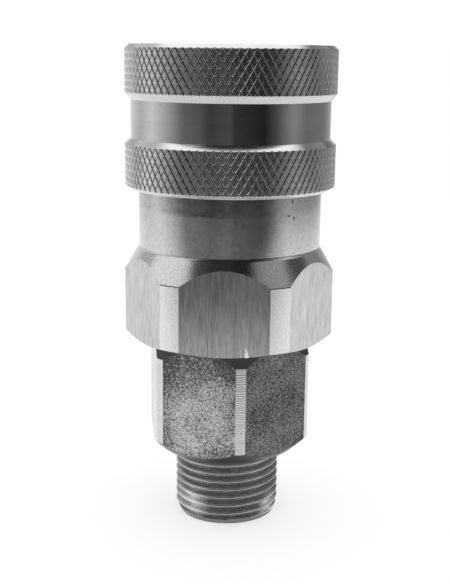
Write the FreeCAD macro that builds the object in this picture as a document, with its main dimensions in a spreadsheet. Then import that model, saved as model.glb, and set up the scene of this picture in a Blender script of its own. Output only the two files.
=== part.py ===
import FreeCAD, Part
import math
import os

import Sketcher
from FreeCAD import Vector

# Quick coupling with a ball lock, a sprung release sleeve, a check valve and a male pipe thread.
# Millimetres. +Z is the coupling's axis, z = 0 is the thread's end face, and the plug enters from above.

# Driving dimensions: diameters, lengths along the axis, angles in degrees
SIZES = {
    # male thread and hexagon of the adapter
    "thread_diameter": "16.662",
    "thread_length": "11.8",
    "thread_end_chamfer": "0.7",
    "thread_lead": "1.5",
    "flow_bore": "9.6",
    "adapter_flats": "24.0",
    "adapter_corner_diameter": "26.85",
    "adapter_corner_angle": "38.35",
    "adapter_hex_length": "17.8",
    "adapter_chamfer_height": "2.08",
    "adapter_face_width": "1.0",
    "adapter_bottom_chamfer": "2.2",
    # spigot of the adapter, screwed into the body
    "spigot_diameter": "21.8",
    "spigot_length": "9.7",
    "spigot_bore": "16.0",
    "spigot_bore_depth": "5.5",
    "spigot_lead": "0.8",
    "spigot_clearance": "0.05",
    "adapter_seal_section": "1.5",
    "adapter_seal_depth": "2.5",
    # outside of the body
    "body_flats": "30.0",
    "body_corner_angle": "57.5",
    "corner_proud": "0.18",
    "body_chamfer_width": "1.67",
    "body_chamfer_height": "0.75",
    "body_strip_length": "9.95",
    "body_cone_angle": "30.0",
    "cone_round": "1.2",
    "tube_top_chamfer": "0.3",
    "shoulder_rise": "24.7",
    "nose_length": "19.9",
    "shoulder_width": "2.57",
    "nose_chamfer": "0.6",
    # inside of the body
    "body_bore_chamfer": "0.3",
    "chamber_bore": "18.4",
    "seat_angle": "45.0",
    "throat_bore": "12.8",
    "throat_length": "3.0",
    "seal_bore": "12.1",
    "seal_bore_length": "6.15",
    "entry_cone_angle": "60.0",
    "nose_wall": "3.15",
    "mouth_depth": "12.9",
    "mouth_chamfer": "0.8",
    # plug seal and its backup ring in the seal bore
    "plug_seal_section": "2.0",
    "plug_seal_proud": "0.2",
    "plug_seal_depth": "2.1",
    "backup_thickness": "1.15",
    "seal_clearance": "0.05",
    # ball lock
    "ball_count": "8",
    "ball_diameter": "4.0",
    "ball_sink": "0.05",
    "ball_depth": "5.3",
    "ball_hole_angle": "6.0",
    "ball_clearance": "0.03",
    "ball_play": "0.3",
    "ball_retraction": "0.95",
    "ball_room": "0.1",
    "lock_overlap": "1.0",
    "lock_land_below": "1.9",
    # release sleeve
    "sleeve_diameter": "32.5",
    "skirt_wall": "1.96",
    "sleeve_proud": "0.6",
    "sleeve_top_chamfer": "0.5",
    "upper_band_length": "6.57",
    "upper_band_chamfer": "1.08",
    "groove_depth": "0.88",
    "groove_length": "5.78",
    "lower_band_chamfer": "0.79",
    "lower_band_length": "6.29",
    "sleeve_bottom_chamfer": "0.55",
    "counterbore_room": "0.25",
    "counterbore_chamfer": "0.5",
    "guide_land_length": "1.5",
    "skirt_lead": "0.4",
    "slide_clearance": "0.07",
    # stop ring on the nose
    "stop_ring_proud": "1.6",
    "stop_ring_thickness": "1.2",
    "stop_ring_gap": "3.0",
    "ring_groove_depth": "0.95",
    "ring_front_land": "1.4",
    "ring_clearance": "0.04",
    "seat_clearance": "0.02",
    # sleeve spring
    "sleeve_spring_wire": "1.4",
    "sleeve_spring_turns": "4.5",
    # valve guide
    "guide_thickness": "2.5",
    "hub_diameter": "7.2",
    "hub_above": "1.2",
    "hub_below": "3.5",
    "flow_hole_diameter": "3.6",
    "flow_hole_circle": "13.8",
    "flow_hole_count": "6",
    # valve poppet
    "stem_diameter": "3.8",
    "stem_clearance": "0.05",
    "stem_tail": "1.5",
    "stem_chamfer": "0.4",
    "poppet_top_diameter": "7.0",
    "poppet_rim_diameter": "16.4",
    "poppet_rim_length": "2.1",
    "poppet_gap": "0.25",
    "poppet_seal_section": "1.6",
    "poppet_seal_circle": "14.4",
    "poppet_seal_proud": "0.15",
    "pocket_depth": "2.2",
    "pocket_diameter": "10.8",
    # valve spring
    "valve_spring_wire": "0.9",
    "valve_spring_turns": "4.5",
}

doc = FreeCAD.newDocument("QuickCoupling")


def make_sheet():
    """The sheet of driving dimensions, one alias to a row."""
    made = doc.addObject("Spreadsheet::Sheet", "Sizes")
    for row, (alias, number) in enumerate(SIZES.items(), start=1):
        made.set(f"A{row}", alias)
        made.set(f"B{row}", number)
        made.setAlias(f"B{row}", alias)
    doc.recompute()
    return made


sheet = make_sheet()


def cell(alias):
    """Expression that reads one driving dimension."""
    return f"Sizes.{alias}"


def half(alias):
    """Expression for the radius of a driving diameter."""
    return f"Sizes.{alias} / 2"


def value(expression):
    """Number that an expression gives now."""
    found = sheet.evalExpression(expression)
    return float(getattr(found, "Value", found))


# Zero, for what lies on the axis or at the thread's end
AXIS = "0"
thread_end = AXIS

# Heights of the adapter and the valve guide
hex_bottom = cell("thread_length")
body_bottom = f"({hex_bottom} + {cell('adapter_hex_length')})"
spigot_top = f"({body_bottom} + {cell('spigot_length')})"
guide_top = f"({spigot_top} + {cell('guide_thickness')})"
hub_bottom = f"({spigot_top} - {cell('hub_below')})"
hub_top = f"({guide_top} + {cell('hub_above')})"

# Radii from the sleeve's outside inwards
outer_radius = half("sleeve_diameter")
skirt_bore = f"({outer_radius} - {cell('skirt_wall')})"
tube_radius = f"({skirt_bore} - {cell('slide_clearance')})"
nose_radius = f"({tube_radius} - {cell('shoulder_width')})"
guide_land = f"({nose_radius} + {cell('slide_clearance')})"
mouth_radius = f"({nose_radius} - {cell('nose_wall')})"

# Heights and radii of the body's outside, whose corners stand a little prouder than the sleeve
corner_radius = f"({outer_radius} + {cell('corner_proud')})"
strip_bottom = f"({body_bottom} + {cell('body_chamfer_height')})"
strip_top = f"({strip_bottom} + {cell('body_strip_length')})"
cone_width = f"({corner_radius} - {tube_radius})"
cone_top = f"({strip_top} + {cone_width} / tan({cell('body_cone_angle')}))"
shoulder = f"({body_bottom} + {cell('shoulder_rise')})"
nose_top = f"({shoulder} + {cell('nose_length')})"
body_bore = f"({half('spigot_diameter')} + {cell('spigot_clearance')})"

# Ball lock, measured from the nose's front
ball_level = f"({nose_top} - {cell('ball_depth')})"
ball_radius = half("ball_diameter")
ball_outside = f"({nose_radius} - {cell('ball_sink')})"
ball_circle = f"({ball_outside} - {ball_radius})"
lock_land = f"({ball_outside} + {cell('ball_play')})"
recess = f"({ball_outside} + {cell('ball_retraction')} + {cell('ball_room')})"
lock_edge = f"({ball_level} + {cell('lock_overlap')})"
ramp_top = f"({lock_edge} + {recess} - {lock_land})"
lock_land_bottom = f"({ball_level} - {cell('lock_land_below')})"
guide_land_top = f"({lock_land_bottom} - {lock_land} + {guide_land})"
spring_ceiling = f"({guide_land_top} - {cell('guide_land_length')})"

# Stop ring, its groove and the sleeve's counterbore round it
ring_groove = f"({nose_radius} - {cell('ring_groove_depth')})"
ring_outside = f"({nose_radius} + {cell('stop_ring_proud')})"
counterbore = f"({ring_outside} + {cell('counterbore_room')})"
ring_groove_top = f"({nose_top} - {cell('ring_front_land')})"
ring_top = f"({ring_groove_top} - {cell('ring_clearance')})"
ring_bottom = f"({ring_top} - {cell('stop_ring_thickness')})"
ring_groove_bottom = f"({ring_bottom} - {cell('ring_clearance')})"
sleeve_step = f"({ring_bottom} - {cell('seat_clearance')})"

# Outside of the sleeve, from its top down
sleeve_top = f"({nose_top} + {cell('sleeve_proud')})"
upper_band_top = f"({sleeve_top} - {cell('sleeve_top_chamfer')})"
upper_band_bottom = f"({upper_band_top} - {cell('upper_band_length')})"
groove_top = f"({upper_band_bottom} - {cell('upper_band_chamfer')})"
groove_bottom = f"({groove_top} - {cell('groove_length')})"
lower_band_top = f"({groove_bottom} - {cell('lower_band_chamfer')})"
lower_band_bottom = f"({lower_band_top} - {cell('lower_band_length')})"
sleeve_bottom = f"({lower_band_bottom} - {cell('sleeve_bottom_chamfer')})"

# Seal bore with its groove, from the mouth down
seal_top = f"({nose_top} - {cell('mouth_depth')})"
entry_top = f"({seal_top} + ({mouth_radius} - {half('seal_bore')}) / tan({cell('entry_cone_angle')}))"
seal_groove_top = f"({seal_top} - {cell('plug_seal_depth')})"
backup_top = f"({seal_groove_top} - {cell('seal_clearance')})"
backup_bottom = f"({backup_top} - {cell('backup_thickness')})"
plug_seal_level = f"({backup_bottom} - {cell('seal_clearance')} - {half('plug_seal_section')})"
seal_groove_bottom = f"({plug_seal_level} - {half('plug_seal_section')} - {cell('seal_clearance')})"
plug_seal_inside = f"({half('seal_bore')} - {cell('plug_seal_proud')})"
plug_seal_middle = f"({plug_seal_inside} + {half('plug_seal_section')})"
seal_groove_wall = f"({plug_seal_inside} + {cell('plug_seal_section')} + {cell('seal_clearance')})"

# Throat and valve seat, below the seal bore
seal_bottom = f"({seal_top} - {cell('seal_bore_length')})"
throat_top = f"({seal_bottom} - {half('throat_bore')} + {half('seal_bore')})"
seat_top = f"({throat_top} - {cell('throat_length')})"
seat_bottom = f"({seat_top} - ({half('chamber_bore')} - {half('throat_bore')}) / tan({cell('seat_angle')}))"


def poppet_cone(radius):
    """Height of the poppet's cone at a radius, parallel to the valve seat and a gap below it."""
    slope = f"({radius} - {half('throat_bore')}) / tan({cell('seat_angle')})"
    return f"({seat_top} - {slope} - {cell('poppet_gap')} / sin({cell('seat_angle')}))"


# Poppet
poppet_top = poppet_cone(half("poppet_top_diameter"))
rim_top = poppet_cone(half("poppet_rim_diameter"))
rim_bottom = f"({rim_top} - {cell('poppet_rim_length')})"
pocket_top = f"({rim_bottom} + {cell('pocket_depth')})"
stem_bottom = f"({hub_bottom} - {cell('stem_tail')})"
poppet_seal_sunk = f"({half('poppet_seal_section')} - {cell('poppet_seal_proud')})"
poppet_seal_middle = f"({half('poppet_seal_circle')} - {poppet_seal_sunk} * cos({cell('seat_angle')}))"
poppet_seal_level = (
    f"({poppet_cone(half('poppet_seal_circle'))} - {poppet_seal_sunk} * sin({cell('seat_angle')}))"
)

# Seal on the adapter's spigot
adapter_seal_level = f"({spigot_top} - {cell('adapter_seal_depth')})"
adapter_seal_room = f"({half('adapter_seal_section')} + 2 * {cell('seal_clearance')})"
adapter_seal_middle = f"({body_bore} - {half('adapter_seal_section')} - {cell('seal_clearance')} / 2)"
adapter_seal_inside = f"({adapter_seal_middle} - {half('adapter_seal_section')})"
adapter_groove_wall = f"({adapter_seal_inside} - {cell('seal_clearance')} / 2)"


def origin_feature(body, role):
    """A body's own origin plane or axis."""
    return next(item for item in body.Origin.OriginFeatures if item.Role == role)


def new_body(label):
    """An empty body that carries the sub-part's name."""
    body = doc.addObject("PartDesign::Body", label)
    body.Label = label
    return body


def new_sketch(body, name, plane):
    """A sketch on one of the body's origin planes."""
    sketch = body.newObject("Sketcher::SketchObject", name)
    sketch.AttachmentSupport = [(origin_feature(body, plane), "")]
    sketch.MapMode = "FlatFace"
    return sketch


def bind(sketch, constraint, name, expression):
    """Add a constraint and drive it by an expression."""
    index = sketch.addConstraint(constraint)
    sketch.renameConstraint(index, name)
    sketch.setExpression(f"Constraints.{name}", expression)


def add_outline(sketch, points):
    """A closed outline of straight lines; each corner is held at (radius, height) by expressions."""
    corners = [Vector(value(radius), value(height), 0) for radius, height in points]
    for start, end in zip(corners, corners[1:] + corners[:1]):
        sketch.addGeometry(Part.LineSegment(start, end), False)
    for line in range(len(points)):
        sketch.addConstraint(Sketcher.Constraint("Coincident", line, 2, (line + 1) % len(points), 1))
    for line, (radius, height) in enumerate(points):
        corner = corners[line]
        if radius == AXIS:
            sketch.addConstraint(Sketcher.Constraint("PointOnObject", line, 1, -2))
        else:
            held = Sketcher.Constraint("DistanceX", -1, 1, line, 1, corner.x)
            bind(sketch, held, f"radius{line}", radius)
        if height == AXIS:
            sketch.addConstraint(Sketcher.Constraint("PointOnObject", line, 1, -1))
        else:
            held = Sketcher.Constraint("DistanceY", -1, 1, line, 1, corner.y)
            bind(sketch, held, f"height{line}", height)


def revolve(body, name, points):
    """Turn an outline about the coupling's axis."""
    sketch = new_sketch(body, f"{name}Outline", "XZ_Plane")
    add_outline(sketch, points)
    turned = body.newObject("PartDesign::Revolution", name)
    turned.Profile = sketch
    turned.ReferenceAxis = (sketch, ["V_Axis"])
    turned.Angle = 360.0
    sketch.Visibility = False
    doc.recompute()
    return turned


def add_circle(sketch, radius, middle_x, middle_y):
    """A circle held by its centre and radius; a middle of 0 lies on the sketch's own axis."""
    middle = Vector(value(middle_x), value(middle_y), 0)
    index = sketch.addGeometry(Part.Circle(middle, Vector(0, 0, 1), value(radius)), False)
    bind(sketch, Sketcher.Constraint("Radius", index, value(radius)), f"round{index}", radius)
    if middle_x == AXIS:
        sketch.addConstraint(Sketcher.Constraint("PointOnObject", index, 3, -2))
    else:
        held = Sketcher.Constraint("DistanceX", -1, 1, index, 3, middle.x)
        bind(sketch, held, f"across{index}", middle_x)
    if middle_y == AXIS:
        sketch.addConstraint(Sketcher.Constraint("PointOnObject", index, 3, -1))
    else:
        held = Sketcher.Constraint("DistanceY", -1, 1, index, 3, middle.y)
        bind(sketch, held, f"along{index}", middle_y)


def add_hexagon(sketch, corner_radius, corner_angle):
    """A regular hexagon about the sketch's origin, held by its corner circle and one corner's angle."""
    sides = 6
    radius = value(corner_radius)
    first = value(corner_angle)
    corners = [
        FreeCAD.Rotation(Vector(0, 0, 1), first + 360 / sides * number).multVec(Vector(radius, 0, 0))
        for number in range(sides)
    ]
    for start, end in zip(corners, corners[1:] + corners[:1]):
        sketch.addGeometry(Part.LineSegment(start, end), False)
    circle = sketch.addGeometry(Part.Circle(Vector(0, 0, 0), Vector(0, 0, 1), radius), True)
    spoke = sketch.addGeometry(Part.LineSegment(Vector(0, 0, 0), corners[0]), True)
    sketch.addConstraint(Sketcher.Constraint("Coincident", circle, 3, -1, 1))
    for side in range(sides):
        sketch.addConstraint(Sketcher.Constraint("Coincident", side, 2, (side + 1) % sides, 1))
        sketch.addConstraint(Sketcher.Constraint("PointOnObject", side, 1, circle))
    for side in range(1, sides):
        sketch.addConstraint(Sketcher.Constraint("Equal", 0, side))
    sketch.addConstraint(Sketcher.Constraint("Coincident", spoke, 1, -1, 1))
    sketch.addConstraint(Sketcher.Constraint("Coincident", spoke, 2, 0, 1))
    bind(sketch, Sketcher.Constraint("Radius", circle, radius), "cornerRadius", corner_radius)
    bind(sketch, Sketcher.Constraint("Angle", spoke, math.radians(first)), "cornerAngle", corner_angle)


def mill_hexagon(body, name, flats, corner_angle, clear_radius, height):
    """Cut everything outside a hexagon away, from z = 0 up to a height."""
    sketch = new_sketch(body, f"{name}Outline", "XY_Plane")
    add_hexagon(sketch, f"{half(flats)} / cos(30)", cell(corner_angle))
    add_circle(sketch, clear_radius, AXIS, AXIS)
    doc.recompute()
    milled = body.newObject("PartDesign::Pocket", name)
    milled.Profile = sketch
    milled.Type = "Length"
    milled.Reversed = True
    milled.setExpression("Length", height)
    sketch.Visibility = False
    doc.recompute()


def repeat_round_axis(body, name, feature, count):
    """Copy a feature evenly round the coupling's axis."""
    pattern = body.newObject("PartDesign::PolarPattern", name)
    pattern.Originals = [feature]
    pattern.Axis = (origin_feature(body, "Z_Axis"), [""])
    pattern.Angle = 360.0
    pattern.setExpression("Occurrences", cell(count))
    body.Tip = pattern
    doc.recompute()


def round_edge(body, name, base, radius, height, rounding):
    """Round the circular edge at a radius and height about the axis."""
    wanted = Vector(0, 0, value(height))
    found = [
        f"Edge{number}"
        for number, edge in enumerate(base.Shape.Edges, start=1)
        if isinstance(edge.Curve, Part.Circle)
        and edge.Curve.Center.isEqual(wanted, 1e-4)
        and abs(edge.Curve.Radius - value(radius)) < 1e-4
    ]
    rounded = body.newObject("PartDesign::Fillet", name)
    rounded.Base = (base, found)
    rounded.setExpression("Radius", rounding)
    doc.recompute()


def make_coupling_body():
    """Hexagon bar turned to a cone, a tube and a nose, and bored for the plug, the seal and the valve."""
    body = new_body("coupling_body")
    outside = [
        (f"{nose_radius} - {cell('nose_chamfer')}", nose_top),
        (nose_radius, f"{nose_top} - {cell('nose_chamfer')}"),
        (nose_radius, ring_groove_top),
        (ring_groove, ring_groove_top),
        (ring_groove, ring_groove_bottom),
        (nose_radius, ring_groove_bottom),
        (nose_radius, shoulder),
        (f"{tube_radius} - {cell('tube_top_chamfer')}", shoulder),
        (tube_radius, f"{shoulder} - {cell('tube_top_chamfer')}"),
        (tube_radius, cone_top),
        (corner_radius, strip_top),
        (corner_radius, strip_bottom),
        (f"{corner_radius} - {cell('body_chamfer_width')}", body_bottom),
    ]
    inside = [
        (f"{body_bore} + {cell('body_bore_chamfer')}", body_bottom),
        (body_bore, f"{body_bottom} + {cell('body_bore_chamfer')}"),
        (body_bore, guide_top),
        (half("chamber_bore"), guide_top),
        (half("chamber_bore"), seat_bottom),
        (half("throat_bore"), seat_top),
        (half("throat_bore"), throat_top),
        (half("seal_bore"), seal_bottom),
        (half("seal_bore"), seal_groove_bottom),
        (seal_groove_wall, seal_groove_bottom),
        (seal_groove_wall, seal_groove_top),
        (half("seal_bore"), seal_groove_top),
        (half("seal_bore"), seal_top),
        (mouth_radius, entry_top),
        (mouth_radius, f"{nose_top} - {cell('mouth_chamfer')}"),
        (f"{mouth_radius} + {cell('mouth_chamfer')}", nose_top),
    ]
    turned = revolve(body, "TurnedBody", outside + inside)
    round_edge(body, "ConeRound", turned, tube_radius, cone_top, cell("cone_round"))
    clear_radius = cell("sleeve_diameter")
    mill_hexagon(body, "BodyHexagon", "body_flats", "body_corner_angle", clear_radius, cone_top)
    hole = drill_ball_hole(body)
    repeat_round_axis(body, "BallHoles", hole, "ball_count")
    return body


def drill_ball_hole(body):
    """A radial hole that tapers inwards, so that the ball can't fall into the mouth."""
    taper = cell("ball_hole_angle")
    inner_end = f"({ball_circle} - {ball_radius})"
    outer_end = f"({ball_circle} + {cell('ball_diameter')})"
    seat = f"({ball_radius} + {cell('ball_clearance')}) / cos({taper})"
    inner_radius = f"{seat} - {ball_radius} * tan({taper})"
    outer_radius = f"{seat} + {cell('ball_diameter')} * tan({taper})"
    sketch = new_sketch(body, "BallHoleOutline", "XZ_Plane")
    sketch.setExpression("AttachmentOffset.Base.y", ball_level)
    doc.recompute()
    add_outline(
        sketch,
        [(inner_end, AXIS), (outer_end, AXIS), (outer_end, outer_radius), (inner_end, inner_radius)],
    )
    hole = body.newObject("PartDesign::Groove", "BallHole")
    hole.Profile = sketch
    hole.ReferenceAxis = (sketch, ["H_Axis"])
    hole.Angle = 360.0
    sketch.Visibility = False
    doc.recompute()
    return hole


def make_release_sleeve():
    """Ring with two bands to grip, a lock land and ramp for the balls, a spring shoulder and a skirt."""
    body = new_body("release_sleeve")
    groove = f"({outer_radius} - {cell('groove_depth')})"
    outside = [
        (f"{outer_radius} - {cell('sleeve_top_chamfer')}", sleeve_top),
        (outer_radius, upper_band_top),
        (outer_radius, upper_band_bottom),
        (groove, groove_top),
        (groove, groove_bottom),
        (outer_radius, lower_band_top),
        (outer_radius, lower_band_bottom),
        (f"{outer_radius} - {cell('sleeve_bottom_chamfer')}", sleeve_bottom),
    ]
    inside = [
        (f"{skirt_bore} + {cell('skirt_lead')}", sleeve_bottom),
        (skirt_bore, f"{sleeve_bottom} + {cell('skirt_lead')}"),
        (skirt_bore, spring_ceiling),
        (guide_land, spring_ceiling),
        (guide_land, guide_land_top),
        (lock_land, lock_land_bottom),
        (lock_land, lock_edge),
        (recess, ramp_top),
        (recess, sleeve_step),
        (counterbore, sleeve_step),
        (counterbore, f"{sleeve_top} - {cell('counterbore_chamfer')}"),
        (f"{counterbore} + {cell('counterbore_chamfer')}", sleeve_top),
    ]
    revolve(body, "TurnedSleeve", outside + inside)
    return body


def make_adapter():
    """Hexagon bar with a male thread at full diameter below and a bored spigot above."""
    body = new_body("adapter")
    thread = half("thread_diameter")
    corner = half("adapter_corner_diameter")
    spigot = half("spigot_diameter")
    bore = half("spigot_bore")
    bore_floor = f"({spigot_top} - {cell('spigot_bore_depth')})"
    outline = [
        (half("flow_bore"), thread_end),
        (f"{thread} - {cell('thread_end_chamfer')}", thread_end),
        (thread, cell("thread_lead")),
        (thread, hex_bottom),
        (f"{corner} - {cell('adapter_bottom_chamfer')}", hex_bottom),
        (corner, f"{hex_bottom} + {cell('adapter_chamfer_height')}"),
        (corner, f"{body_bottom} - {cell('adapter_chamfer_height')}"),
        (f"{spigot} + {cell('adapter_face_width')}", body_bottom),
        (spigot, body_bottom),
        (spigot, f"{adapter_seal_level} - {adapter_seal_room}"),
        (adapter_groove_wall, f"{adapter_seal_level} - {adapter_seal_room}"),
        (adapter_groove_wall, f"{adapter_seal_level} + {adapter_seal_room}"),
        (spigot, f"{adapter_seal_level} + {adapter_seal_room}"),
        (spigot, spigot_top),
        (f"{bore} + {cell('spigot_lead')}", spigot_top),
        (bore, f"{spigot_top} - {cell('spigot_lead')}"),
        (bore, bore_floor),
        (half("flow_bore"), f"{bore_floor} - {bore} + {half('flow_bore')}"),
    ]
    revolve(body, "TurnedAdapter", outline)
    clear_radius = cell("adapter_corner_diameter")
    mill_hexagon(body, "AdapterHexagon", "adapter_flats", "adapter_corner_angle", clear_radius, body_bottom)
    return body


def make_valve_guide():
    """Disc with flow holes and a hub for the valve stem, held between the spigot and the body."""
    body = new_body("valve_guide")
    stem_hole = f"({half('stem_diameter')} + {cell('stem_clearance')})"
    hub = half("hub_diameter")
    rim = half("spigot_diameter")
    outline = [
        (stem_hole, hub_bottom),
        (hub, hub_bottom),
        (hub, spigot_top),
        (rim, spigot_top),
        (rim, guide_top),
        (hub, guide_top),
        (hub, hub_top),
        (stem_hole, hub_top),
    ]
    revolve(body, "TurnedGuide", outline)
    sketch = new_sketch(body, "FlowHoleOutline", "XY_Plane")
    add_circle(sketch, half("flow_hole_diameter"), half("flow_hole_circle"), AXIS)
    doc.recompute()
    hole = body.newObject("PartDesign::Pocket", "FlowHole")
    hole.Profile = sketch
    hole.Type = "Length"
    hole.Reversed = True
    hole.setExpression("Length", guide_top)
    sketch.Visibility = False
    doc.recompute()
    repeat_round_axis(body, "FlowHoles", hole, "flow_hole_count")
    return body


def make_valve_poppet():
    """Valve cone with a stem, a pocket for the spring and a round groove for its seal."""
    body = new_body("valve_poppet")
    stem = half("stem_diameter")
    rim = half("poppet_rim_diameter")
    outline = [
        (AXIS, poppet_top),
        (half("poppet_top_diameter"), poppet_top),
        (rim, rim_top),
        (rim, rim_bottom),
        (half("pocket_diameter"), rim_bottom),
        (half("pocket_diameter"), pocket_top),
        (stem, pocket_top),
        (stem, f"{stem_bottom} + {cell('stem_chamfer')}"),
        (f"{stem} - {cell('stem_chamfer')}", stem_bottom),
        (AXIS, stem_bottom),
    ]
    revolve(body, "TurnedPoppet", outline)
    sketch = new_sketch(body, "SealGrooveOutline", "XZ_Plane")
    room = f"({half('poppet_seal_section')} + {cell('seal_clearance')})"
    add_circle(sketch, room, poppet_seal_middle, poppet_seal_level)
    groove = body.newObject("PartDesign::Groove", "SealGroove")
    groove.Profile = sketch
    groove.ReferenceAxis = (sketch, ["V_Axis"])
    groove.Angle = 360.0
    sketch.Visibility = False
    doc.recompute()
    return body


def make_backup_ring():
    """Flat plastic ring above the plug seal."""
    body = new_body("plug_backup_ring")
    outer = f"({seal_groove_wall} - {cell('seal_clearance')})"
    outline = [
        (half("seal_bore"), backup_bottom),
        (outer, backup_bottom),
        (outer, backup_top),
        (half("seal_bore"), backup_top),
    ]
    revolve(body, "TurnedBackupRing", outline)
    return body


def make_stop_ring():
    """Flat snap ring with a gap, in the groove of the nose."""
    body = new_body("sleeve_stop_ring")
    inner = f"({ring_groove} + {cell('ring_clearance')})"
    outline = [(inner, ring_bottom), (ring_outside, ring_bottom), (ring_outside, ring_top), (inner, ring_top)]
    revolve(body, "TurnedRing", outline)
    sketch = new_sketch(body, "RingGapOutline", "XZ_Plane")
    add_outline(
        sketch,
        [
            (mouth_radius, ring_groove_bottom),
            (counterbore, ring_groove_bottom),
            (counterbore, ring_groove_top),
            (mouth_radius, ring_groove_top),
        ],
    )
    gap = body.newObject("PartDesign::Pocket", "RingGap")
    gap.Profile = sketch
    gap.Type = "Length"
    gap.Midplane = True
    gap.setExpression("Length", cell("stop_ring_gap"))
    sketch.Visibility = False
    doc.recompute()
    return body


def make_o_ring(label, middle, section, level):
    """Round rubber ring about the axis."""
    ring = doc.addObject("Part::Torus", label)
    ring.Label = label
    ring.setExpression("Radius1", middle)
    ring.setExpression("Radius2", half(section))
    ring.setExpression("Placement.Base.z", level)
    return ring


def make_spring(label, wire, turns, middle, bottom, top):
    """Even helical spring of round wire that just fits between two seats."""
    start = f"({bottom} + {half(wire)} + {cell('seat_clearance')})"
    rise = f"({top} - {half(wire)} - {cell('seat_clearance')} - {start})"
    helix = doc.addObject("Part::Helix", f"{label}_line")
    helix.setExpression("Pitch", f"{rise} / {cell(turns)}")
    helix.setExpression("Height", rise)
    helix.setExpression("Radius", middle)
    helix.setExpression("Placement.Base.z", start)
    section = doc.addObject("Part::Circle", f"{label}_section")
    section.setExpression("Radius", half(wire))
    section.Placement.Rotation = FreeCAD.Rotation(Vector(1, 0, 0), 90)
    section.setExpression("Placement.Base.x", middle)
    section.setExpression("Placement.Base.z", start)
    doc.recompute()
    coil = doc.addObject("Part::Sweep", label)
    coil.Label = label
    coil.Sections = [section]
    coil.Spine = (helix, ["Edge1"])
    coil.Solid = True
    coil.Frenet = True
    doc.recompute()
    return coil


def make_ball(number):
    """One locking ball, in its hole and pushed in by the sleeve."""
    label = f"locking_ball_{number}"
    angle = f"(360 / {cell('ball_count')} * {number - 1})"
    ball = doc.addObject("Part::Sphere", label)
    ball.Label = label
    ball.setExpression("Radius", ball_radius)
    ball.setExpression("Placement.Base.x", f"{ball_circle} * cos({angle})")
    ball.setExpression("Placement.Base.y", f"{ball_circle} * sin({angle})")
    ball.setExpression("Placement.Base.z", ball_level)
    return ball


def make_valve_spring():
    """Spring between the valve guide and the pocket of the poppet, round the guide's hub."""
    middle = f"(({half('hub_diameter')} + {half('pocket_diameter')}) / 2)"
    wire, turns = "valve_spring_wire", "valve_spring_turns"
    return make_spring("valve_spring", wire, turns, middle, guide_top, pocket_top)


def make_sleeve_spring():
    """Spring between the body's shoulder and the sleeve, round the nose."""
    middle = f"(({nose_radius} + {skirt_bore}) / 2)"
    wire, turns = "sleeve_spring_wire", "sleeve_spring_turns"
    return make_spring("sleeve_spring", wire, turns, middle, shoulder, spring_ceiling)


def make_sub_parts():
    """Every sub-part, from the body's inside outwards."""
    ball_count = round(value(cell("ball_count")))
    made = [
        make_coupling_body(),
        make_adapter(),
        make_o_ring("adapter_seal", adapter_seal_middle, "adapter_seal_section", adapter_seal_level),
        make_valve_guide(),
        make_valve_spring(),
        make_valve_poppet(),
        make_o_ring("poppet_seal", poppet_seal_middle, "poppet_seal_section", poppet_seal_level),
        make_o_ring("plug_seal", plug_seal_middle, "plug_seal_section", plug_seal_level),
        make_backup_ring(),
        *[make_ball(number) for number in range(1, ball_count + 1)],
        make_sleeve_spring(),
        make_release_sleeve(),
        make_stop_ring(),
    ]
    doc.recompute()
    return made


def check_all(sub_parts):
    """Stop if any object failed or any sub-part has no sound shape."""
    for item in doc.Objects:
        if "Invalid" in item.State or "Error" in item.State:
            raise RuntimeError(f"{item.Name} failed: {item.State}")
    for item in sub_parts:
        if item.Shape.isNull() or not item.Shape.isValid() or not item.Shape.Solids:
            raise RuntimeError(f"{item.Label} has no sound solid")


sub_parts = make_sub_parts()
check_all(sub_parts)
os.makedirs("parts", exist_ok=True)
for item in sub_parts:
    item.Shape.exportStep(f"parts/{item.Label}.step")
    print(f"{item.Label}: {item.Shape.Volume:.1f} mm3, {len(item.Shape.Solids)} solid")
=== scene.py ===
import math

import bmesh
import bpy
from mathutils import Matrix, Vector


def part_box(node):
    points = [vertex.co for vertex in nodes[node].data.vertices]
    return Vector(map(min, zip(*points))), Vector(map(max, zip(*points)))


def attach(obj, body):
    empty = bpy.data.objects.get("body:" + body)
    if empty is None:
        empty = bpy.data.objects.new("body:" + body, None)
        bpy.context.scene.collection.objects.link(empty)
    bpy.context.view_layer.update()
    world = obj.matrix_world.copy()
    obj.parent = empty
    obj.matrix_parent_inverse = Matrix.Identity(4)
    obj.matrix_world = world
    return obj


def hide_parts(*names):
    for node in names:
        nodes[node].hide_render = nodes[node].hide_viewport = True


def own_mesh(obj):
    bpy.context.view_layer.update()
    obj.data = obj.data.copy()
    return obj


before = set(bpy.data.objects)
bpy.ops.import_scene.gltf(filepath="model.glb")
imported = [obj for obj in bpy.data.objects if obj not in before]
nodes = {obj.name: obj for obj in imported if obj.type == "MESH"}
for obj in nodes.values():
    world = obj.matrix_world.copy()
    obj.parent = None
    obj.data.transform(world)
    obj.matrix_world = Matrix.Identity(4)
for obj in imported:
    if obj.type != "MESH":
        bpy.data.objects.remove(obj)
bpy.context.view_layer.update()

# Lengths in this script are in millimetres, and MM turns them into metres
MM = 0.001

# Angles in degrees above which an edge is sharp: on plain pieces, on round or threaded ones and in the chip
SHARP = 24
SHARP_ROUND = 40
SHARP_CHIP = 10
# Small chamfer on the inner edges
EASED = 0.06


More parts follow.
